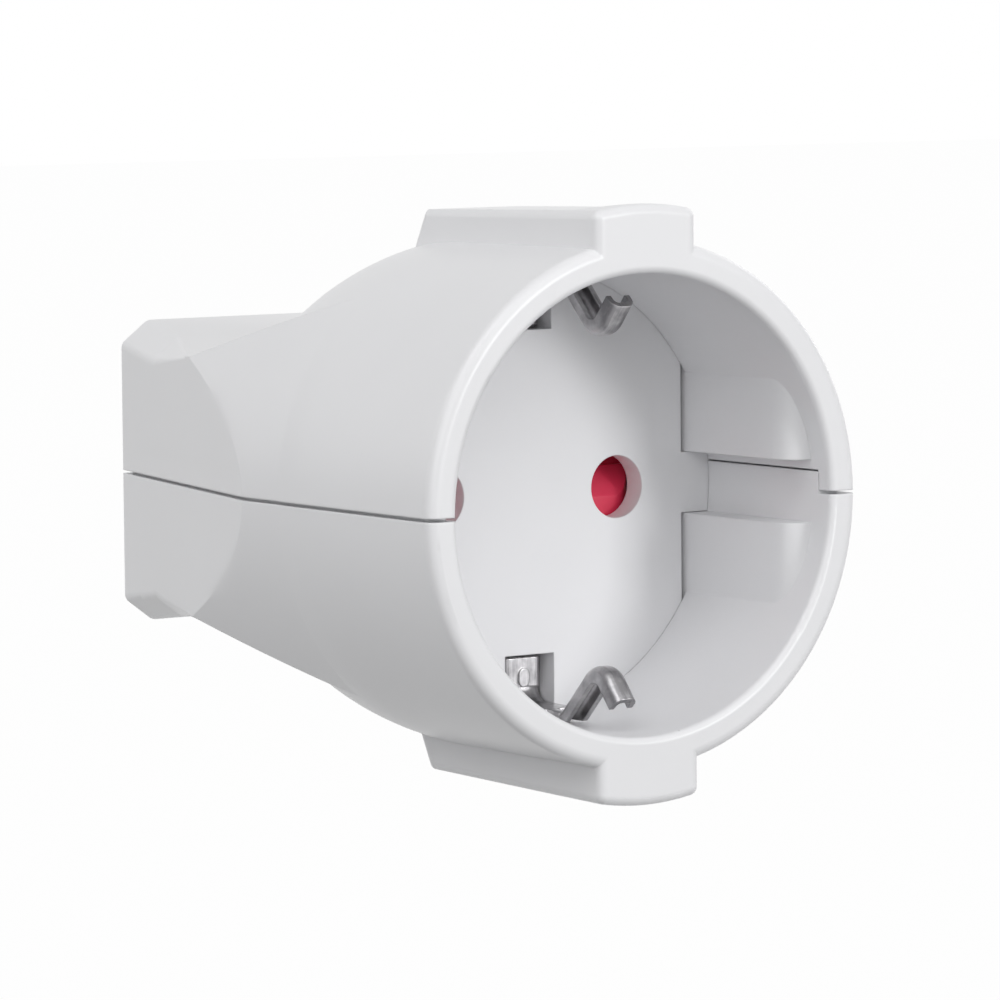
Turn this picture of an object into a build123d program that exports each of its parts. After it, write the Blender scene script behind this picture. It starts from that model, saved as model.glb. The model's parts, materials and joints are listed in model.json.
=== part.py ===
from build123d import *
import math
import os

# Schuko in-line socket: two housing halves round a contact block with a sliding shutter.
# Millimetres. X runs to the right seen from the mouth, Y from the mouth to the cord end, Z up.
# The origin is the centre of the mouth, in the plane of the rim.

# Plug side
pin_spacing = 19.0
pin_diameter = 4.8
pin_hole_diameter = 5.5
recess_diameter = 39.1
recess_depth = 17.5
mouth_round = 0.6
rim_round = 1.0

# Flats at both sides of the recess, with a keyway between them
flat_depth = 2.6
keyway_width = 5.46
flat_setback = 2.6
flat_nose_radius = 2.4

# Turned body: a cylinder that runs into a convex shoulder
body_length = 60.8
shell_wall = 2.2
seat_step = 0.65
shoulder_start = 20.0
shoulder_radius = 37.4
shoulder_angle = 45.0

# Rear block: tapering side flats, waisted top and bottom, soft corner cuts that grow towards the end
block_step = 0.12
side_flat_start = 28.1
rear_width = 29.3
rear_height = 27.6
waist_position = 42.2
waist_height = 22.8
waist_radius = 4.0
flank_height = 36.2
corner_cut_width = 2.8
corner_cut_height = 2.05
corner_cut_full = 52.0
corner_start_share = 0.1
corner_top_round = 1.2
corner_side_round = 1.0
rear_edge_round = 0.5

# Grip wings
wing_width = 10.5
wing_height = 3.0
wing_drop = 0.4
wing_crown = 0.2
wing_crown_length = 4.0
wing_dip = 0.5
wing_end_dip = 1.0
wing_top_length = 25.5
wing_length = 27.7
wing_edge_round = 0.8

# Parting of the halves
parting_gap = 0.3
lip_height = 1.75
lip_depth = 0.8
lip_setback = 1.8
lip_clearance = 0.15

# Fits between pieces
seat_gap = 0.05
fit_clearance = 0.2
slide_clearance = 0.3

# Face plate
face_thickness = 2.2
face_side_gap = 0.4
window_width = 5.2
window_height = 5.45

# Earth strap, with a clip at each end that is given by the line of its ridge
strap_width = 4.9
strap_thickness = 0.8
strap_bend_radius = 1.9
strap_wall_gap = 0.25
channel_width = 3.8
channel_rise = 1.3
channel_inset = 0.35
channel_round = 0.5
bead_width = 1.1
bead_height = 0.2
bead_inset = 0.9
clip_width = 2.4
clip_flange = 1.4
clip_sheet = 0.5
clip_ridge_round = 0.7
clip_shoulder = 14.1
clip_root = 11.9
clip_root_bend = 1.0
clip_crest_position = 6.33
clip_rise = 5.57
clip_crest_bend = 2.4
clip_tip_position = 3.2
clip_tip_rise = 1.85
earth_tab_width = 2.9
earth_tab_height = 5.2
earth_window_length = 8.4

# Contact carrier
carrier_disc_thickness = 5.1
core_margin = 4.1
core_height = 19.0
core_depth = 2.0
tower_width = 9.6
tower_length = 10.1
tower_bore_radius = 4.0
shelf_margin = 0.4
shelf_thickness = 1.35
retaining_ring_width = 1.5
retaining_ring_height = 3.0

# Shutter, spring and travel
shutter_overhang = 4.2
shutter_top = 3.3
shutter_bottom = -3.3
shutter_thickness = 3.7
shutter_ramp_bottom = -1.05
shutter_ramp_top = 1.6
shutter_ramp_depth = 1.3
shutter_head_depth = 1.9
shutter_ramp_width = 7.2
shutter_end_round = 2.6
shutter_travel = 5.9
spring_radius = 1.3
spring_wire = 0.5
spring_turns = 6
spring_notch_width = 4.2
spring_notch_top = 0.6
spring_pocket_depth = 4.0

# Contact sleeves
sleeve_fit = 0.1
sleeve_wall = 0.7
sleeve_length = 10.6
sleeve_slit = 0.8
sleeve_slit_length = 7.6
ring_wall = 0.6
ring_length = 3.0
ring_offset = 3.6
ring_gap = 1.6
tail_width = 4.0
tail_thickness = 0.8

# Terminals and their screws
terminal_width = 6.2
terminal_length = 5.3
terminal_height = 5.95
wire_hole_diameter = 3.2
terminal_screw_diameter = 3.0
terminal_screw_length = 3.6
terminal_screw_lift = 0.5
terminal_head_diameter = 4.6
terminal_head_height = 1.8
earth_shelf_thickness = 1.9
earth_shelf_width = 6.4

# Housing screw, in a boss behind the contact towers
housing_screw_diameter = 3.0
housing_screw_length = 18.0
housing_head_diameter = 5.0
housing_head_height = 2.2
housing_head_seat = -8.5
boss_radius = 3.6

# Cord entry and cord clamp
cord_diameter = 8.0
cord_clearance = 0.5
collar_radius = 6.5
collar_length = 4.2
clamp_gap = 0.3
clamp_screw_spacing = 16.4
clamp_screw_diameter = 3.0
clamp_screw_length = 9.0
clamp_head_diameter = 5.4
clamp_head_height = 2.0
clamp_boss_radius = 2.6
clamp_boss_top = 2.0
clamp_bar_margin = 3.0
clamp_bar_width = 5.0
clamp_bar_thickness = 4.0
clamp_bar_round = 2.4
saddle_width = 11.0
saddle_thickness = 3.0
saddle_top = -3.2

# Slots of the screw heads
slot_width = 0.8
slot_depth = 0.9

# Values worked out from the sizes above
recess_radius = recess_diameter / 2
body_radius = recess_radius + seat_step + shell_wall
flat_x = recess_radius - flat_depth
wing_radius = body_radius + wing_height
pin_x = pin_spacing / 2
pin_hole_radius = pin_hole_diameter / 2
cavity_radius = body_radius - shell_wall
face_front = recess_depth + seat_gap
face_back = face_front + face_thickness
face_half = flat_x - face_side_gap
window_inner_radius = recess_radius - window_height
strap_front = face_back + seat_gap
strap_back = strap_front + strap_thickness
strap_middle = strap_front + strap_thickness / 2
carrier_front = face_back + 2 * seat_gap
carrier_disc_back = carrier_front + carrier_disc_thickness
core_back = carrier_disc_back + core_depth
tower_back = core_back + tower_length
core_half = pin_x + core_margin
shutter_half = pin_x + shutter_overhang
shutter_front = face_back + slide_clearance + seat_gap
shutter_back = shutter_front + shutter_thickness
pocket_back = shutter_back + slide_clearance
pocket_bottom = shutter_bottom - shutter_travel - slide_clearance
pocket_top = shutter_top + slide_clearance
spring_seat = pocket_bottom - spring_pocket_depth
strap_face_radius = recess_radius - strap_wall_gap - strap_thickness / 2
sleeve_inner_radius = pin_diameter / 2 + sleeve_fit
sleeve_radius = sleeve_inner_radius + sleeve_wall
sleeve_front = carrier_disc_back + slide_clearance
sleeve_back = sleeve_front + sleeve_length
tail_bottom = -sleeve_radius
terminal_start = tower_back + slide_clearance
terminal_back = terminal_start + terminal_length
shelf_back = terminal_back + shelf_margin
shelf_top = tail_bottom - seat_gap
terminal_bottom = tail_bottom + tail_thickness + seat_gap
earth_terminal_start = carrier_disc_back + slide_clearance
earth_terminal_end = earth_terminal_start + terminal_length
earth_shelf_top = earth_tab_height - seat_gap
earth_terminal_bottom = earth_tab_height + strap_thickness + seat_gap
earth_tab_end = strap_back + earth_window_length
clip_run_radius = strap_face_radius - strap_thickness / 2
clip_crest_radius = clip_run_radius - clip_rise
clip_tip_radius = clip_run_radius - clip_tip_rise
retaining_ring_radius = cavity_radius - retaining_ring_height
shoulder_inner = shoulder_radius - shell_wall
shoulder_centre = body_radius - shoulder_radius
carrier_wall = shoulder_centre + math.sqrt(shoulder_inner ** 2 - (carrier_disc_back - shoulder_start) ** 2)
carrier_radius = carrier_wall - fit_clearance
spring_y = (strap_back + slide_clearance + pocket_back) / 2
cord_radius = cord_diameter / 2
cord_hole_radius = cord_radius + cord_clearance
collar_front = body_length - collar_length
clamp_position = collar_front - clamp_gap - clamp_bar_width / 2
housing_screw_position = tower_back + slide_clearance + boss_radius
parting_half = parting_gap / 2
wall_radius = (recess_radius + body_radius) / 2
side_flat_slope = (body_radius - rear_width / 2) / (body_length - side_flat_start)
flank_turn = math.atan((flank_height - waist_height) / 2 / (waist_position - shoulder_start))
rear_turn = math.atan((rear_height - waist_height) / 2 / (body_length - waist_position))
rear_start = waist_position + waist_radius * math.tan((flank_turn + rear_turn) / 2)

os.makedirs("parts", exist_ok=True)


def finish(builder, label):
    builder.part.label = label
    export_step(builder.part, f"parts/{label}.step")


def box_between(low, high, mode=Mode.ADD):
    size = Vector(high) - Vector(low)
    with Locations(Vector(low) + size / 2):
        Box(size.X, size.Y, size.Z, mode=mode)


def rod_between(front, back, radius, x=0, mode=Mode.ADD):
    # Round rod along the plug's axis
    with Locations((x, (front + back) / 2, 0)):
        Cylinder(radius, back - front, rotation=(90, 0, 0), mode=mode)


def post_between(x, y, bottom, top, radius, mode=Mode.ADD):
    # Round upright post
    with Locations((x, y, (bottom + top) / 2)):
        Cylinder(radius, top - bottom, mode=mode)


def plan_outline(inset):
    # Seen from above: parallel sides, then the flats that taper to the cord end
    with BuildSketch(Plane.XY) as plan:
        with BuildLine():
            Polyline(
                (body_radius, shoulder_start),
                (body_radius, side_flat_start),
                (rear_width / 2, body_length),
                (-rear_width / 2, body_length),
                (-body_radius, side_flat_start),
                (-body_radius, shoulder_start),
                close=True,
            )
        make_face()
        if inset:
            offset(amount=-inset, kind=Kind.INTERSECTION, mode=Mode.REPLACE)
    return plan.sketch


def side_outline(inset):
    # Seen from the side: a waist between the shoulder and the cord end
    with BuildSketch(Plane.YZ) as side:
        with BuildLine():
            Polyline(
                (shoulder_start, flank_height / 2),
                (waist_position, waist_height / 2),
                (body_length, rear_height / 2),
                (body_length, -rear_height / 2),
                (waist_position, -waist_height / 2),
                (shoulder_start, -flank_height / 2),
                close=True,
            )
        make_face()
        waist = side.vertices().filter_by_position(Axis.X, waist_position, waist_position)
        fillet(waist, radius=waist_radius)
        if inset:
            offset(amount=-inset, kind=Kind.INTERSECTION, mode=Mode.REPLACE)
    return side.sketch


def block_form(inset):
    # Rear block, a small step inside the body's cylinder
    with BuildPart() as block:
        extrude(plan_outline(inset), amount=body_radius, both=True)
        extrude(side_outline(inset), amount=body_radius, both=True, mode=Mode.INTERSECT)
        rod_between(0, body_length, body_radius - block_step - inset, mode=Mode.INTERSECT)
    return block.part


def turned_form(inset, front):
    # Cylinder and shoulder, turned about the plug's axis
    with BuildPart() as turned:
        with BuildSketch(Plane.XY):
            with BuildLine():
                side = Line((body_radius - inset, front), (body_radius - inset, shoulder_start))
                shoulder = JernArc(side @ 1, side % 1, shoulder_radius - inset, shoulder_angle)
                end = Line(shoulder @ 1, (0, (shoulder @ 1).Y))
                axis = Line(end @ 1, (0, front))
                Line(axis @ 1, side @ 0)
            make_face()
        revolve(axis=Axis.Y)
    return turned.part


def body_form(inset, front):
    with BuildPart() as form:
        add(turned_form(inset, front))
        add(block_form(inset))
    return form.part


def rear_section(position, share):
    # Section of the rear block behind the waist, its corners cut off by a share of the full cut
    half_width = body_radius - side_flat_slope * (position - side_flat_start)
    half_height = waist_height / 2 + (position - waist_position) * math.tan(rear_turn)
    cut_x = half_width - share * corner_cut_width
    cut_z = half_height - share * corner_cut_height
    with BuildSketch(Plane.XZ.offset(-position)) as section:
        with BuildLine():
            Polyline(
                (half_width, -cut_z),
                (half_width, cut_z),
                (cut_x, half_height),
                (-cut_x, half_height),
                (-half_width, cut_z),
                (-half_width, -cut_z),
                (-cut_x, -half_height),
                (cut_x, -half_height),
                close=True,
            )
        make_face()
        at_side = section.vertices().filter_by(lambda v: abs(v.X) > (cut_x + half_width) / 2)
        fillet(at_side, radius=share * corner_side_round)
        at_top = section.vertices().filter_by(lambda v: math.isclose(abs(v.Y), half_height))
        fillet(at_top, radius=share * corner_top_round)
    return section.sketch


# Front half of the rear block, down to the waist
with BuildPart() as front_block:
    add(block_form(0))
    split(bisect_by=Plane.XZ.offset(-rear_start), keep=Keep.TOP)

# Rear half of the rear block, its corner cuts growing from almost nothing at the waist
with BuildPart() as rear_block:
    at_waist = rear_section(rear_start, corner_start_share)
    at_full_cut = rear_section(corner_cut_full, 1)
    at_end = rear_section(body_length, 1)
    loft([at_waist, at_full_cut, at_end], ruled=True)
    fillet(rear_block.faces().sort_by(Axis.Y)[-1].edges(), radius=rear_edge_round)

# Both grip wings: turned, then flattened on top behind their arched front edge
with BuildPart() as wings:
    with BuildSketch(Plane.XY):
        with BuildLine():
            Polyline(
                (wall_radius, 0),
                (wing_radius, 0),
                (wing_radius - wing_drop, wing_top_length),
                (wall_radius, wing_length),
                close=True,
            )
        make_face()
    revolve(axis=Axis.Y)
    Box(wing_width, 2 * wing_length, 2 * wing_radius, mode=Mode.INTERSECT)
    outside = wings.edges().filter_by(lambda e: math.hypot(e.center().X, e.center().Z) > body_radius)
    fillet(outside, radius=wing_edge_round)
    with BuildSketch(Plane.YZ):
        with BuildLine():
            Polyline(
                (0, wing_radius + wing_crown),
                (wing_crown_length, wing_radius - wing_dip),
                (wing_length, wing_radius - wing_end_dip),
                (wing_length, wing_radius + wing_height),
                (0, wing_radius + wing_height),
                close=True,
            )
        make_face()
        mirror(about=Plane.XZ)
    extrude(amount=wing_width, both=True, mode=Mode.SUBTRACT)

# Flats of the recess, with rounded noses towards the mouth; they run on past the face plate
with BuildPart() as flats:
    with BuildSketch(Plane.XY):
        with BuildLine():
            face = Line((flat_x, face_back), (flat_x, flat_setback + flat_nose_radius))
            nose = JernArc(face @ 1, face % 1, flat_nose_radius, 90)
            front = Line(nose @ 1, (wall_radius, flat_setback))
            root = Line(front @ 1, (wall_radius, face_back))
            Line(root @ 1, face @ 0)
        make_face()
        mirror(about=Plane.YZ)
    extrude(amount=recess_radius, both=True)
    Box(2 * body_radius, 2 * body_length, keyway_width, mode=Mode.SUBTRACT)
    rod_between(0, body_length, wall_radius, mode=Mode.INTERSECT)

# Hollow housing before it is parted, without bosses
with BuildPart() as hollow:
    add(turned_form(0, 0))
    rim = hollow.edges().filter_by(GeomType.CIRCLE).filter_by_position(Axis.Y, 0, 0)
    fillet(rim, radius=rim_round)
    add(front_block.part)
    add(rear_block.part)
    add(wings.part)
    add(body_form(shell_wall, recess_depth), mode=Mode.SUBTRACT)
    rod_between(0, recess_depth, recess_radius, mode=Mode.SUBTRACT)
    circles = hollow.edges().filter_by(GeomType.CIRCLE).filter_by_position(Axis.Y, 0, 0)
    fillet(circles.sort_by(SortBy.RADIUS)[0], radius=mouth_round)
    add(flats.part)

# Boss of the housing screw, rooted in both walls
with BuildPart() as screw_boss:
    post_between(0, housing_screw_position, -body_radius, body_radius, boss_radius)
    add(body_form(shell_wall / 2, 0), mode=Mode.INTERSECT)

# Whole housing: retaining ring, screw boss and cord collar added
with BuildPart() as housing:
    add(hollow.part)
    ring_front = carrier_disc_back + fit_clearance
    with BuildSketch(Plane.XZ.offset(-ring_front)):
        Circle(cavity_radius + shell_wall / 4)
        Circle(retaining_ring_radius, mode=Mode.SUBTRACT)
    extrude(amount=-retaining_ring_width)
    add(screw_boss.part)
    rod_between(collar_front, body_length - shell_wall / 2, collar_radius)
    rod_between(collar_front, body_length, cord_hole_radius, mode=Mode.SUBTRACT)

# Lap lip of the lower half, and the wider groove for it in the upper half
with BuildPart() as lip:
    add(hollow.part)
    add(body_form(lip_depth, lip_setback), mode=Mode.INTERSECT)
    box_between((-body_radius, 0, -lip_height), (body_radius, body_length, lip_height), mode=Mode.INTERSECT)
    rod_between(collar_front, body_length, cord_hole_radius, mode=Mode.SUBTRACT)

with BuildPart() as lip_groove:
    add(body_form(lip_depth - lip_clearance, lip_setback - seat_gap))
    groove_top = lip_height + lip_clearance
    box_between((-body_radius, 0, 0), (body_radius, body_length, groove_top), mode=Mode.INTERSECT)
    add(body_form(shell_wall + lip_clearance, recess_depth), mode=Mode.SUBTRACT)

# Lower housing half, with the cord saddle and the clamp bosses
with BuildPart() as lower_shell:
    add(housing.part)
    split(bisect_by=Plane.XY.offset(-parting_half), keep=Keep.BOTTOM)
    add(lip.part)
    floor = -rear_height / 2 + shell_wall
    for side in (-1, 1):
        clamp_x = side * clamp_screw_spacing / 2
        clamp_hole = clamp_screw_diameter / 2 + seat_gap
        hole_bottom = clamp_boss_top + clamp_bar_thickness - clamp_screw_length - slide_clearance
        post_between(clamp_x, clamp_position, floor, clamp_boss_top, clamp_boss_radius)
        post_between(clamp_x, clamp_position, hole_bottom, clamp_boss_top, clamp_hole, mode=Mode.SUBTRACT)
    saddle_front = clamp_position - saddle_thickness / 2
    saddle_back = clamp_position + saddle_thickness / 2
    box_between((-saddle_width / 2, saddle_front, floor), (saddle_width / 2, saddle_back, saddle_top))
    rod_between(saddle_front, saddle_back, cord_radius, mode=Mode.SUBTRACT)
    with Locations(Plane(origin=(0, housing_screw_position, -body_radius), z_dir=(0, 0, -1))):
        CounterBoreHole(
            radius=housing_screw_diameter / 2 + fit_clearance,
            counter_bore_radius=housing_head_diameter / 2 + fit_clearance,
            counter_bore_depth=body_radius + housing_head_seat,
            depth=body_radius,
        )
finish(lower_shell, "lower_shell")

# Upper housing half, with a blind hole for the housing screw
with BuildPart() as upper_shell:
    add(housing.part)
    split(bisect_by=Plane.XY.offset(parting_half), keep=Keep.TOP)
    add(lip_groove.part, mode=Mode.SUBTRACT)
    hole_top = housing_head_seat + housing_screw_length + slide_clearance
    hole_radius = housing_screw_diameter / 2 + seat_gap
    post_between(0, housing_screw_position, 0, hole_top, hole_radius, mode=Mode.SUBTRACT)
finish(upper_shell, "upper_shell")

# Face plate: floor of the recess, held between the flats, with an ear in each keyway
with BuildPart() as face_plate:
    with BuildSketch(Plane.XZ.offset(-face_front)):
        Rectangle(2 * face_half, 2 * body_radius)
        Rectangle(2 * body_radius, keyway_width - 2 * seat_gap)
        Circle(cavity_radius - fit_clearance, mode=Mode.INTERSECT)
    extrude(amount=-face_thickness)
    for side in (-1, 1):
        rod_between(face_front, face_back, pin_hole_radius, x=side * pin_x, mode=Mode.SUBTRACT)
    half = window_width / 2
    box_between((-half, face_front, window_inner_radius),
                (half, face_back, body_radius), mode=Mode.SUBTRACT)
    box_between((-half, face_front, -body_radius),
                (half, face_back, -window_inner_radius), mode=Mode.SUBTRACT)
finish(face_plate, "face_plate")


# One earth clip: a rounded channel along the line of its ridge, open towards the wall
with BuildPart() as clip:
    with BuildLine(Plane.YZ) as ridge:
        FilletPolyline(
            (clip_shoulder + clip_width / 2, -clip_run_radius),
            (clip_root, -clip_run_radius),
            (clip_crest_position, -clip_crest_radius),
            (clip_tip_position, -clip_tip_radius),
            radius=(clip_root_bend, clip_crest_bend),
        )
    with BuildSketch(Plane(origin=ridge.line @ 0, x_dir=(1, 0, 0), z_dir=ridge.line % 0)):
        with BuildLine():
            side = (clip_width - clip_sheet) / 2
            back = -clip_sheet / 2
            FilletPolyline(
                (-side, -clip_flange),
                (-side, back),
                (side, back),
                (side, -clip_flange),
                radius=clip_ridge_round,
            )
        trace(line_width=clip_sheet)
    sweep()
    rod_between(0, body_length, strap_face_radius + strap_thickness / 2, mode=Mode.INTERSECT)

# Earth strap: one bent strip with both clips and the tab for the earth terminal
with BuildPart() as earth_strap:
    with BuildSketch(Plane.YZ):
        with BuildLine():
            FilletPolyline(
                (strap_middle, 0),
                (strap_middle, -strap_face_radius),
                (clip_shoulder, -strap_face_radius),
                radius=strap_bend_radius,
            )
        trace(line_width=strap_thickness)
    extrude(amount=strap_width / 2, both=True)
    add(clip.part)
    channel_front = strap_front - channel_rise
    channel_top = -window_inner_radius - channel_inset
    channel_bottom = strap_bend_radius - strap_face_radius
    channel_half = channel_width / 2
    hollow_half = channel_half - strap_thickness
    box_between((-channel_half, channel_front, channel_bottom), (channel_half, strap_front, channel_top))
    ridges = earth_strap.edges().filter_by(Axis.Z).filter_by_position(Axis.Y, channel_front, channel_front)
    fillet(ridges, radius=channel_round)
    box_between((-hollow_half, channel_front + strap_thickness, channel_bottom),
                (hollow_half, strap_back, channel_top), mode=Mode.SUBTRACT)
    bead_top = channel_top - bead_inset
    with BuildSketch(Plane.XZ.offset(-channel_front)):
        with Locations((0, (bead_top + channel_bottom) / 2)):
            SlotOverall(bead_top - channel_bottom, bead_width, rotation=90)
    extrude(amount=bead_height)
    mirror(about=Plane.XY)
    tab_half = earth_tab_width / 2
    tab_top = earth_tab_height + strap_thickness
    box_between((-tab_half, strap_front, tab_top),
                (tab_half, strap_back, tab_top + earth_window_length), mode=Mode.SUBTRACT)
    box_between((-tab_half, strap_front, earth_tab_height), (tab_half, earth_tab_end, tab_top))
finish(earth_strap, "earth_strap")

# Contact carrier: disc behind the face plate, a tower for each contact, shelves for the terminals
with BuildPart() as contact_carrier:
    rod_between(carrier_front, carrier_disc_back, carrier_radius)
    Box(2 * face_half, 2 * body_length, 2 * body_radius, mode=Mode.INTERSECT)
    core_top = core_height / 2
    tower_half = tower_width / 2
    shelf_half = earth_shelf_width / 2
    shelf_bottom = earth_shelf_top - earth_shelf_thickness
    box_between((-core_half, carrier_disc_back, -core_top), (core_half, core_back, core_top))
    box_between((-shelf_half, carrier_disc_back, earth_shelf_top),
                (shelf_half, core_back, core_top), mode=Mode.SUBTRACT)
    box_between((-shelf_half, core_back, shelf_bottom), (shelf_half, earth_terminal_end, earth_shelf_top))
    for side in (-1, 1):
        x = side * pin_x
        box_between((x - tower_half, core_back, -tower_half), (x + tower_half, tower_back, tower_half))
        box_between((x - terminal_width / 2, tower_back, shelf_top - shelf_thickness),
                    (x + terminal_width / 2, shelf_back, shelf_top))
        rod_between(core_back, tower_back, tower_bore_radius, x=x, mode=Mode.SUBTRACT)
        rod_between(pocket_back, core_back, sleeve_radius + fit_clearance, x=x, mode=Mode.SUBTRACT)
    pocket_half = shutter_half + slide_clearance
    slot_half = strap_width / 2 + fit_clearance
    spring_half = spring_notch_width / 2
    box_between((-pocket_half, face_back, pocket_bottom),
                (pocket_half, pocket_back, pocket_top), mode=Mode.SUBTRACT)
    box_between((-spring_half, face_back, spring_seat),
                (spring_half, pocket_back, pocket_bottom), mode=Mode.SUBTRACT)
    box_between((-slot_half, face_back, -body_radius),
                (slot_half, strap_back + fit_clearance, body_radius), mode=Mode.SUBTRACT)
    box_between((-tab_half - fit_clearance, face_back, earth_tab_height - fit_clearance),
                (tab_half + fit_clearance, carrier_disc_back, tab_top + fit_clearance), mode=Mode.SUBTRACT)
finish(contact_carrier, "contact_carrier")

# Shutter: slides down when both pins press on its ramps
with BuildPart() as shutter:
    relief_half = strap_width / 2 + slide_clearance
    box_between((-shutter_half, shutter_front, shutter_bottom), (shutter_half, shutter_back, shutter_top))
    ends = shutter.edges().filter_by(Axis.Z).filter_by_position(Axis.Y, shutter_front, shutter_front)
    fillet(ends, radius=shutter_end_round)
    box_between((-relief_half, shutter_front, shutter_bottom),
                (relief_half, strap_back + slide_clearance, shutter_top), mode=Mode.SUBTRACT)
    box_between((-spring_half, shutter_front, shutter_bottom),
                (spring_half, shutter_back, spring_notch_top), mode=Mode.SUBTRACT)
    for side in (-1, 1):
        with BuildSketch(Plane.YZ.offset(side * shutter_half)):
            with BuildLine():
                Polyline(
                    (shutter_front, shutter_ramp_bottom),
                    (shutter_front, shutter_top),
                    (shutter_front + shutter_head_depth, shutter_top),
                    (shutter_front + shutter_head_depth, shutter_ramp_top),
                    (shutter_front + shutter_ramp_depth, shutter_ramp_top),
                    close=True,
                )
            make_face()
        extrude(amount=-side * shutter_ramp_width, mode=Mode.SUBTRACT)
finish(shutter, "shutter")

# Shutter spring, standing in the carrier and lifting the shutter
with BuildPart() as shutter_spring:
    spring_bottom = spring_seat + spring_wire / 2 + seat_gap
    spring_top = spring_notch_top - spring_wire / 2 - seat_gap
    spring_height = spring_top - spring_bottom
    spring_pitch = spring_height / spring_turns
    with BuildLine():
        coil = Helix(spring_pitch, spring_height, spring_radius, center=(0, spring_y, spring_bottom))
    with BuildSketch(Plane(origin=coil @ 0, z_dir=coil % 0)):
        Circle(spring_wire / 2)
    sweep()
finish(shutter_spring, "shutter_spring")


def contact_sleeve(x):
    # Slit sleeve for one pin, with a tail that reaches under its terminal
    with BuildPart() as sleeve:
        rod_between(sleeve_front, sleeve_back, sleeve_radius, x=x)
        tail_front = sleeve_back - sleeve_wall
        box_between((x - tail_width / 2, tail_front, tail_bottom),
                    (x + tail_width / 2, terminal_back, tail_bottom + tail_thickness))
        rod_between(sleeve_front, sleeve_back, sleeve_inner_radius, x=x, mode=Mode.SUBTRACT)
        slit_back = sleeve_front + sleeve_slit_length
        box_between((x - sleeve_slit / 2, sleeve_front, -sleeve_radius),
                    (x + sleeve_slit / 2, slit_back, sleeve_radius), mode=Mode.SUBTRACT)
    return sleeve


def contact_ring(x):
    # Open steel ring that presses the sleeve on the pin
    with BuildPart() as ring:
        ring_start = sleeve_front + ring_offset
        ring_inner = sleeve_radius + seat_gap
        rod_between(ring_start, ring_start + ring_length, ring_inner + ring_wall, x=x)
        rod_between(ring_start, ring_start + ring_length, ring_inner, x=x, mode=Mode.SUBTRACT)
        box_between((x - ring_gap / 2, ring_start, 0),
                    (x + ring_gap / 2, ring_start + ring_length, tower_bore_radius), mode=Mode.SUBTRACT)
    return ring


def terminal_block(x, start, bottom):
    # Brass block with a hole for the wire and one for the screw
    with BuildPart() as block:
        middle = start + terminal_length / 2
        top = bottom + terminal_height
        box_between((x - terminal_width / 2, start, bottom),
                    (x + terminal_width / 2, start + terminal_length, top))
        with Locations((x, middle, bottom + terminal_height / 2)):
            Cylinder(wire_hole_diameter / 2, terminal_length, rotation=(90, 0, 0), mode=Mode.SUBTRACT)
        screw_hole = terminal_screw_diameter / 2 + seat_gap
        post_between(x, middle, bottom + terminal_height / 2, top, screw_hole, mode=Mode.SUBTRACT)
    return block


def slotted_screw(length, diameter, head_diameter, head_height):
    # Screw with its head on top; the underside of the head lies at zero height
    with BuildPart() as screw:
        post_between(0, 0, -length, 0, diameter / 2)
        post_between(0, 0, 0, head_height, head_diameter / 2)
        box_between((-head_diameter, -slot_width / 2, head_height - slot_depth),
                    (head_diameter, slot_width / 2, head_height), mode=Mode.SUBTRACT)
    return screw.part


def terminal_screw(x, start, bottom):
    with BuildPart() as screw:
        with Locations((x, start + terminal_length / 2, bottom + terminal_height + terminal_screw_lift)):
            add(slotted_screw(
                terminal_screw_length, terminal_screw_diameter, terminal_head_diameter, terminal_head_height))
    return screw


# Contacts and terminals of both poles
for pole, x in (("line", -pin_x), ("neutral", pin_x)):
    finish(contact_sleeve(x), f"{pole}_contact")
    finish(contact_ring(x), f"{pole}_contact_spring")
    finish(terminal_block(x, terminal_start, terminal_bottom), f"{pole}_terminal")
    finish(terminal_screw(x, terminal_start, terminal_bottom), f"{pole}_terminal_screw")

# Earth terminal, standing on the tab of the strap
finish(terminal_block(0, earth_terminal_start, earth_terminal_bottom), "earth_terminal")
finish(terminal_screw(0, earth_terminal_start, earth_terminal_bottom), "earth_terminal_screw")

# Cord clamp bar, over the cord, and its two screws
with BuildPart() as cord_clamp_bar:
    bar_bottom = clamp_boss_top + seat_gap
    bar_top = bar_bottom + clamp_bar_thickness
    with Locations((0, clamp_position, (bar_bottom + bar_top) / 2)):
        Box(clamp_screw_spacing + 2 * clamp_bar_margin, clamp_bar_width, clamp_bar_thickness)
    fillet(cord_clamp_bar.edges().filter_by(Axis.Z), radius=clamp_bar_round)
    bar_front = clamp_position - clamp_bar_width / 2
    rod_between(bar_front, bar_front + clamp_bar_width, cord_radius, mode=Mode.SUBTRACT)
    for side in (-1, 1):
        clamp_x = side * clamp_screw_spacing / 2
        clamp_clear = clamp_screw_diameter / 2 + fit_clearance
        post_between(clamp_x, clamp_position, bar_bottom, bar_top, clamp_clear, mode=Mode.SUBTRACT)
finish(cord_clamp_bar, "cord_clamp_bar")

with BuildPart() as cord_clamp_screws:
    with Locations((0, clamp_position, bar_top + seat_gap)):
        with GridLocations(clamp_screw_spacing, 0, 2, 1):
            add(slotted_screw(
                clamp_screw_length, clamp_screw_diameter, clamp_head_diameter, clamp_head_height))
finish(cord_clamp_screws, "cord_clamp_screws")

# Housing screw, put in from below
with BuildPart() as housing_screw:
    with Locations(Location((0, housing_screw_position, housing_head_seat - seat_gap), (180, 0, 0))):
        add(slotted_screw(
            housing_screw_length, housing_screw_diameter, housing_head_diameter, housing_head_height))
finish(housing_screw, "housing_screw")
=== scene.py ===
import json

import bpy
from mathutils import Matrix, Vector


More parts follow.
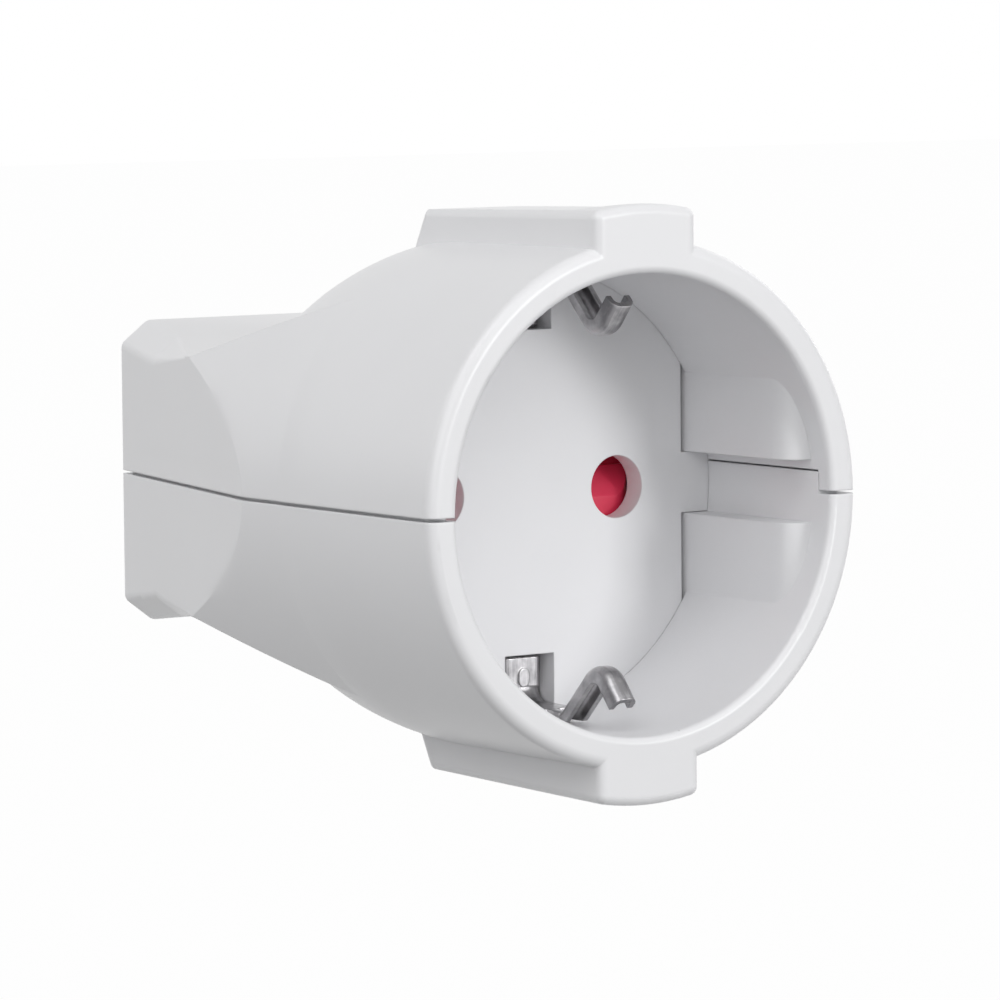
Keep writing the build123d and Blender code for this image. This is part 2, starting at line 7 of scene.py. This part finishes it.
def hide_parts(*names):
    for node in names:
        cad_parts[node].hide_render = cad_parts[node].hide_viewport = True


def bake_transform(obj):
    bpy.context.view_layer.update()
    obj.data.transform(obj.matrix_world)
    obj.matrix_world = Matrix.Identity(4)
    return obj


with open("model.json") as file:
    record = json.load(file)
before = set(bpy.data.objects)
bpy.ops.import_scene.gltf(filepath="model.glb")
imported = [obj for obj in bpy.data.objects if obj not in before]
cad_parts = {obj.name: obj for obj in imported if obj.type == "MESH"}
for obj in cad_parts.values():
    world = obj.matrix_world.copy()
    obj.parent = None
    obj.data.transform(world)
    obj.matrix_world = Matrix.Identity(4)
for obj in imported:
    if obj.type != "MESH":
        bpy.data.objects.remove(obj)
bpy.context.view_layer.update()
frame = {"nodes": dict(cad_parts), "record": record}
nodes = frame["nodes"]
slotOf = {entry["node"]: entry["material_slot"] for entry in frame["record"]["subparts"]}
print("frame loaded:", len(nodes), "nodes")


# Shader maths in plain Python: a Wire holds one socket of a node tree
class Wire:
    def __init__(self, tree, socket=None):
        self.tree = tree
        self.socket = socket

    def node(self, kind, settings=None, inputs=None, output=0):
        made = self.tree.nodes.new(kind)
        for name, value in (settings or {}).items():
            setattr(made, name, value)
        for name, value in (inputs or {}).items():
            if isinstance(value, Wire):
                self.tree.links.new(value.socket, made.inputs[name])
            else:
                made.inputs[name].default_value = value
        return Wire(self.tree, made.outputs[output])

    def maths(self, operation, first, second=0.0):
        return self.node("ShaderNodeMath", {"operation": operation}, {0: first, 1: second})

    def __add__(self, other):
        return self.maths("ADD", self, other)

    def __radd__(self, other):
        return self.maths("ADD", other, self)

    def __sub__(self, other):
        return self.maths("SUBTRACT", self, other)

    def __rsub__(self, other):
        return self.maths("SUBTRACT", other, self)

    def __mul__(self, other):
        return self.maths("MULTIPLY", self, other)

    def __rmul__(self, other):
        return self.maths("MULTIPLY", other, self)

    def __truediv__(self, other):
        return self.maths("DIVIDE", self, other)

    def __rtruediv__(self, other):
        return self.maths("DIVIDE", other, self)

    def clamped(self, low=0.0, high=1.0):
        return self.maths("MINIMUM", self.maths("MAXIMUM", self, low), high)


def newFinish(name):
    material = bpy.data.materials.new(name)
    material.use_nodes = True
    tree = material.node_tree
    tree.nodes.clear()
    out = tree.nodes.new("ShaderNodeOutputMaterial")
    return material, Wire(tree), out


def objectPoint(wire):
    return wire.node("ShaderNodeTexCoord", output="Object")


def noise(wire, point, scale, detail=3.0, rough=0.55):
    return wire.node("ShaderNodeTexNoise", {"noise_dimensions": "3D"},
                     {"Vector": point, "Scale": scale, "Detail": detail, "Roughness": rough})


def tint(wire, factor, dark, light):
    return wire.node("ShaderNodeMix", {"data_type": "RGBA"}, {0: factor, 6: dark, 7: light}, output=2)


def bump(wire, height, strength, distance, normal):
    values = {"Height": height, "Strength": strength, "Distance": distance, "Normal": normal}
    return wire.node("ShaderNodeBump", None, values)


def finishWith(out, wire, values):
    shader = wire.node("ShaderNodeBsdfPrincipled", None, values)
    wire.tree.links.new(shader.socket, out.inputs["Surface"])


# A few cells of a Voronoi pattern hold one small dot each, the rest none
speckSettings = {"dotSharpness": 40.0, "drawSharpness": 200.0}


def specks(wire, point, look):
    cells = {"Vector": point, "Scale": look["speckScale"]}
    away = wire.node("ShaderNodeTexVoronoi", None, cells, output="Distance")
    draw = wire.node("ShaderNodeTexVoronoi", None, cells, output="Color")
    chance = wire.node("ShaderNodeSeparateColor", None, {0: draw})
    near = ((look["speckSize"] - away) * speckSettings["dotSharpness"]).clamped()
    drawn = (chance - (1.0 - look["speckShare"])) * speckSettings["drawSharpness"]
    return near * drawn.clamped()


# 1 where a value lies between low and high, fading out over a short way at both ends
def between(value, low, high, fade):
    return ((value - low) / fade).clamped() * ((high - value) / fade).clamped()


# Normals that turn the corner within a small radius, as on a moulded or stamped edge
edgeSamples = 8


def softEdge(wire, radius):
    return wire.node("ShaderNodeBevel", {"samples": edgeSamples}, {"Radius": radius})


# Wider blend where the turned shoulder runs into the side flats, both halves alike
def blendedNormal(wire, point, look):
    edge = softEdge(wire, look["edgeRadius"])
    if "blendRadius" not in look:
        return edge
    along = wire.node("ShaderNodeSeparateXYZ", None, {0: point}, output="Y")
    height = wire.node("ShaderNodeSeparateXYZ", None, {0: point}, output="Z")
    fromParting = wire.maths("ABSOLUTE", height)
    nearAlong = between(along, *look["blendAlong"], look["alongFade"])
    near = nearAlong * between(fromParting, *look["blendHeight"], look["heightFade"])
    soft = softEdge(wire, look["blendRadius"])
    return wire.node("ShaderNodeMix", {"data_type": "VECTOR"}, {0: near, 4: edge, 5: soft}, output=1)


noiseMean = 0.5               # noise textures vary about this value
plasticIndex = 1.5            # refractive index of the mouldings
metalRoughness = (0.05, 0.9)  # limits for the metals


# Moulded white plastic: fine eroded grain, faint cloudiness, uneven gloss, a few specks of dirt
def mouldedWhite(name, look):
    material, wire, out = newFinish(name)
    point = objectPoint(wire)
    cloud = noise(wire, point, look["cloudScale"], detail=2.0)
    grain = noise(wire, point, look["grainScale"], detail=2.0, rough=0.6)
    smear = noise(wire, point, look["smearScale"], detail=4.0)
    clean = tint(wire, cloud, look["dark"], look["light"])
    dirt = specks(wire, point, look) * look["speckStrength"]
    gloss = look["roughness"] + (smear - noiseMean) * look["roughnessSpread"]
    soft = blendedNormal(wire, point, look)
    finishWith(out, wire, {
        "Base Color": tint(wire, dirt, clean, look["speckColour"]),
        "Roughness": gloss + dirt * look["speckRoughness"],
        "Normal": bump(wire, grain, look["grainStrength"], look["grainDepth"], soft),
        "IOR": plasticIndex,
    })
    return material


# Coloured plastic of the shutter, with faint flow marks
def mouldedRed(name, look):
    material, wire, out = newFinish(name)
    point = objectPoint(wire)
    flow = noise(wire, point, look["flowScale"])
    grain = noise(wire, point, look["grainScale"], detail=2.0)
    edge = softEdge(wire, look["edgeRadius"])
    finishWith(out, wire, {
        "Base Color": tint(wire, flow, look["dark"], look["light"]),
        "Roughness": look["roughness"] + (flow - noiseMean) * look["roughnessSpread"],
        "Normal": bump(wire, grain, look["grainStrength"], look["grainDepth"], edge),
        "IOR": plasticIndex,
    })
    return material


# Bare or plated metal: rolling marks along one direction, soft stains
def rolledMetal(name, look):
    material, wire, out = newFinish(name)
    point = objectPoint(wire)
    stretched = wire.node("ShaderNodeMapping", None, {"Vector": point, "Scale": look["stretch"]})
    marks = noise(wire, stretched, look["markScale"], rough=0.6)
    stain = noise(wire, point, look["stainScale"])
    edge = softEdge(wire, look["edgeRadius"])
    tone = 0.5 + (marks - noiseMean) * look["markTone"] + (stain - noiseMean) * look["stainTone"]
    # Base colour darker towards the front (lower Y), over the clips' free legs
    if "frontDarkFrom" in look:
        along = wire.node("ShaderNodeSeparateXYZ", None, {0: point}, output="Y")
        tone = tone - ((look["frontDarkFrom"] - along) / look["frontDarkFade"]).clamped() * look["frontDarkTone"]
    gloss = look["roughness"] + (marks - noiseMean) * look["roughnessSpread"]
    finishWith(out, wire, {
        "Base Color": tint(wire, tone.clamped(), look["dark"], look["light"]),
        "Metallic": 1.0,
        "Roughness": gloss.clamped(*metalRoughness),
        "Normal": bump(wire, marks, look["markStrength"], look["markDepth"], edge),
    })
    return material


housingLook = {
    "dark": (0.776, 0.777, 0.792, 1), "light": (0.816, 0.817, 0.832, 1), "cloudScale": 60.0,
    "grainScale": 5200.0, "grainStrength": 0.06, "grainDepth": 0.00002,
    "roughness": 0.33, "roughnessSpread": 0.08, "smearScale": 120.0,
    "speckScale": 300.0, "speckSize": 0.05, "speckShare": 0.05, "speckStrength": 0.4,
    "speckColour": (0.4, 0.39, 0.4, 1),
    "speckRoughness": 0.3, "edgeRadius": 0.00022,
    "blendAlong": (0.029, 0.057), "alongFade": 0.003, "blendHeight": (0.002, 0.0095), "heightFade": 0.001,
    "blendRadius": 0.002,
}
insertLook = {
    "dark": (0.78, 0.781, 0.796, 1), "light": (0.82, 0.821, 0.836, 1), "cloudScale": 90.0,
    "grainScale": 4200.0, "grainStrength": 0.1, "grainDepth": 0.00003,
    "roughness": 0.45, "roughnessSpread": 0.1, "smearScale": 160.0,
    "speckScale": 420.0, "speckSize": 0.06, "speckShare": 0.03, "speckStrength": 0.35,
    "speckColour": (0.42, 0.41, 0.42, 1),
    "speckRoughness": 0.3, "edgeRadius": 0.00018,
}
shutterLook = {
    "dark": (0.78, 0.035, 0.092, 1), "light": (0.9, 0.052, 0.125, 1),
    "flowScale": 240.0, "grainScale": 4000.0, "grainStrength": 0.15, "grainDepth": 0.00004,
    "roughness": 0.32, "roughnessSpread": 0.1, "edgeRadius": 0.00015,
}
nickelLook = {
    "dark": (0.26, 0.255, 0.265, 1), "light": (0.68, 0.67, 0.68, 1), "stretch": (7.0, 0.6, 0.6),
    "markScale": 500.0, "markStrength": 0.45, "markDepth": 0.00003, "markTone": 1.0,
    "stainScale": 800.0, "stainTone": 1.3, "roughness": 0.31, "roughnessSpread": 0.16,
    "edgeRadius": 0.00014,
    "frontDarkFrom": 0.0058, "frontDarkFade": 0.0012, "frontDarkTone": 0.4,  # base colour darker towards the front, over the clips' free legs
}
brassLook = {
    "dark": (0.62, 0.42, 0.16, 1), "light": (0.74, 0.54, 0.24, 1), "stretch": (1.0, 5.0, 1.0),
    "markScale": 500.0, "markStrength": 0.1, "markDepth": 0.00003, "markTone": 0.5,
    "stainScale": 300.0, "stainTone": 0.9, "roughness": 0.32, "roughnessSpread": 0.16,
    "edgeRadius": 0.0001,
}
zincLook = {
    "dark": (0.46, 0.465, 0.48, 1), "light": (0.6, 0.605, 0.61, 1), "stretch": (1.0, 1.0, 4.0),
    "markScale": 700.0, "markStrength": 0.1, "markDepth": 0.00003, "markTone": 0.5,
    "stainScale": 400.0, "stainTone": 0.9, "roughness": 0.36, "roughnessSpread": 0.16,
    "edgeRadius": 0.0001,
}

finishes = {
    "housing_white": mouldedWhite("housingWhite", housingLook),
    "insert_white": mouldedWhite("insertWhite", insertLook),
    "shutter_red": mouldedRed("shutterRed", shutterLook),
    "plated_strip": rolledMetal("nickelStrip", nickelLook),
    "contact_brass": rolledMetal("contactBrass", brassLook),
    "screw_steel": rolledMetal("zincScrew", zincLook),
}

sharpAngle = 0.5  # radians, above which an edge keeps its own normals

for nodeName, slotName in slotOf.items():
    mesh = nodes[nodeName].data
    mesh.materials.clear()
    mesh.materials.append(finishes[slotName])
    mesh.shade_smooth()
    mesh.set_sharp_from_angle(angle=sharpAngle)
print("finishes set:", len(finishes))

# The coil under the shutter shortens as the shutter slides, its foot staying and its top going along;
# here its mesh is only copied into a free object and the packed coil is hidden
coilSettings = {"node": "shutter_spring", "foot": "housing", "top": "shutter", "endTurn": 0.0006}


def freeCoil(settings):
    still = nodes[settings["node"]]
    coil = bpy.data.objects.new("shutterCoil", still.data.copy())
    bpy.context.scene.collection.objects.link(coil)
    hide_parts(settings["node"])
    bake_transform(coil)


freeCoil(coilSettings)

# Pale floor below the held coupling: white where it is seen or mirrored, grey for the light it returns
floorSettings = {"height": -0.066, "half": 3.0, "colour": (0.4, 0.4, 0.4, 1), "glow": 0.985}


def layFloor(settings):
    height, half = settings["height"], settings["half"]
    signs = ((-1, -1), (1, -1), (1, 1), (-1, 1))
    corners = [(x * half, y * half, height) for x, y in signs]
    mesh = bpy.data.meshes.new("floor")
    mesh.from_pydata(corners, [], [(0, 1, 2, 3)])
    floor = bpy.data.objects.new("floor", mesh)
    bpy.context.scene.collection.objects.link(floor)
    material, wire, out = newFinish("paleFloor")
    rays = wire.node("ShaderNodeLightPath", output="Is Camera Ray")
    shine = wire.node("ShaderNodeLightPath", output="Is Glossy Ray")
    through = wire.node("ShaderNodeLightPath", output="Is Transmission Ray")
    seen = (rays + shine + through).clamped() * settings["glow"]
    matt = wire.node("ShaderNodeBsdfDiffuse", None, {"Color": settings["colour"]})
    white = wire.node("ShaderNodeEmission", None, {"Color": (1, 1, 1, 1), "Strength": 1.0})
    mixed = wire.node("ShaderNodeMixShader", None, {0: seen, 1: matt, 2: white})
    wire.tree.links.new(mixed.socket, out.inputs["Surface"])
    mesh.materials.append(material)


layFloor(floorSettings)

# Studio: white surroundings for what is seen, softer grey for what lights the object
worldSettings = {"fill": 0.26}


def surround(settings):
    world = bpy.data.worlds.new("studio")
    world.use_nodes = True
    bpy.context.scene.world = world
    tree = world.node_tree
    tree.nodes.clear()
    wire = Wire(tree)
    rays = wire.node("ShaderNodeLightPath", output="Is Camera Ray")
    shine = wire.node("ShaderNodeLightPath", output="Is Glossy Ray")
    through = wire.node("ShaderNodeLightPath", output="Is Transmission Ray")
    seen = (rays + shine + through).clamped()
    level = settings["fill"] + seen * (1.0 - settings["fill"])
    sky = wire.node("ShaderNodeBackground", None, {"Color": (1, 1, 1, 1), "Strength": level})
    out = tree.nodes.new("ShaderNodeOutputWorld")
    tree.links.new(sky.socket, out.inputs["Surface"])


surround(worldSettings)

# Soft boxes: name, place, aim, size, power
softBoxes = [
    ("keyBox", (0.42, -0.9, 0.18), (0, 0.01, 0), 0.3, 3.8),       # right of the mouth, a little above
    ("cameraBox", (-0.6, -0.7, 0.35), (0, 0.02, 0), 0.6, 2.1),
    ("upperLeftBox", (-0.75, -0.15, 0.75), (0, 0.02, 0), 0.6, 2.3),
    ("topLeftBox", (-0.35, -0.35, 0.85), (0, 0, 0), 0.3, 0.9),    # throws the shadow of the lower clip
    ("rearBox", (-0.75, 0.6, 0.4), (0, 0.03, 0), 0.6, 1.6),
    ("highBox", (0.1, -0.65, 0.65), (0, 0.02, 0), 0.5, 1.3),
    ("backBox", (0.95, 0.42, 0.35), (0, 0.03, 0), 0.6, 1.1),
]


def hangLight(name, place, aim, size, power):
    lamp = bpy.data.lights.new(name, "AREA")
    lamp.shape = "SQUARE"
    lamp.size = size
    lamp.energy = power
    holder = bpy.data.objects.new(name, lamp)
    holder.location = place
    holder.rotation_mode = "QUATERNION"
    holder.rotation_quaternion = (Vector(aim) - Vector(place)).to_track_quat("-Z", "Y")
    bpy.context.scene.collection.objects.link(holder)


for box in softBoxes:
    hangLight(*box)
print("lights hung:", len(softBoxes))

# Camera at the photograph's place, placed for a square picture of 1000 pixels; the picture's size is not
# set here
cameraSettings = {
    "place": (-0.28832, -0.38866, 0.04244),
    "right": (0.8178, -0.5754, -0.0088),
    "down": (-0.0567, -0.0654, -0.9962),
    "lens": 208.06, "sensor": 36.0,  # millimetres
    "nearest": 0.01,
}


def placeCamera(settings):
    right = Vector(settings["right"]).normalized()
    down = Vector(settings["down"])
    down = (down - right * down.dot(right)).normalized()
    ahead = right.cross(down)
    turn = Matrix((right, -down, -ahead)).transposed().to_4x4()
    data = bpy.data.cameras.new("photoCamera")
    data.sensor_width = settings["sensor"]
    data.lens = settings["lens"]
    data.clip_start = settings["nearest"]
    camera = bpy.data.objects.new("photoCamera", data)
    camera.matrix_world = Matrix.Translation(settings["place"]) @ turn
    bpy.context.scene.collection.objects.link(camera)
    bpy.context.scene.camera = camera


placeCamera(cameraSettings)
bpy.context.scene.view_settings.view_transform = "Standard"
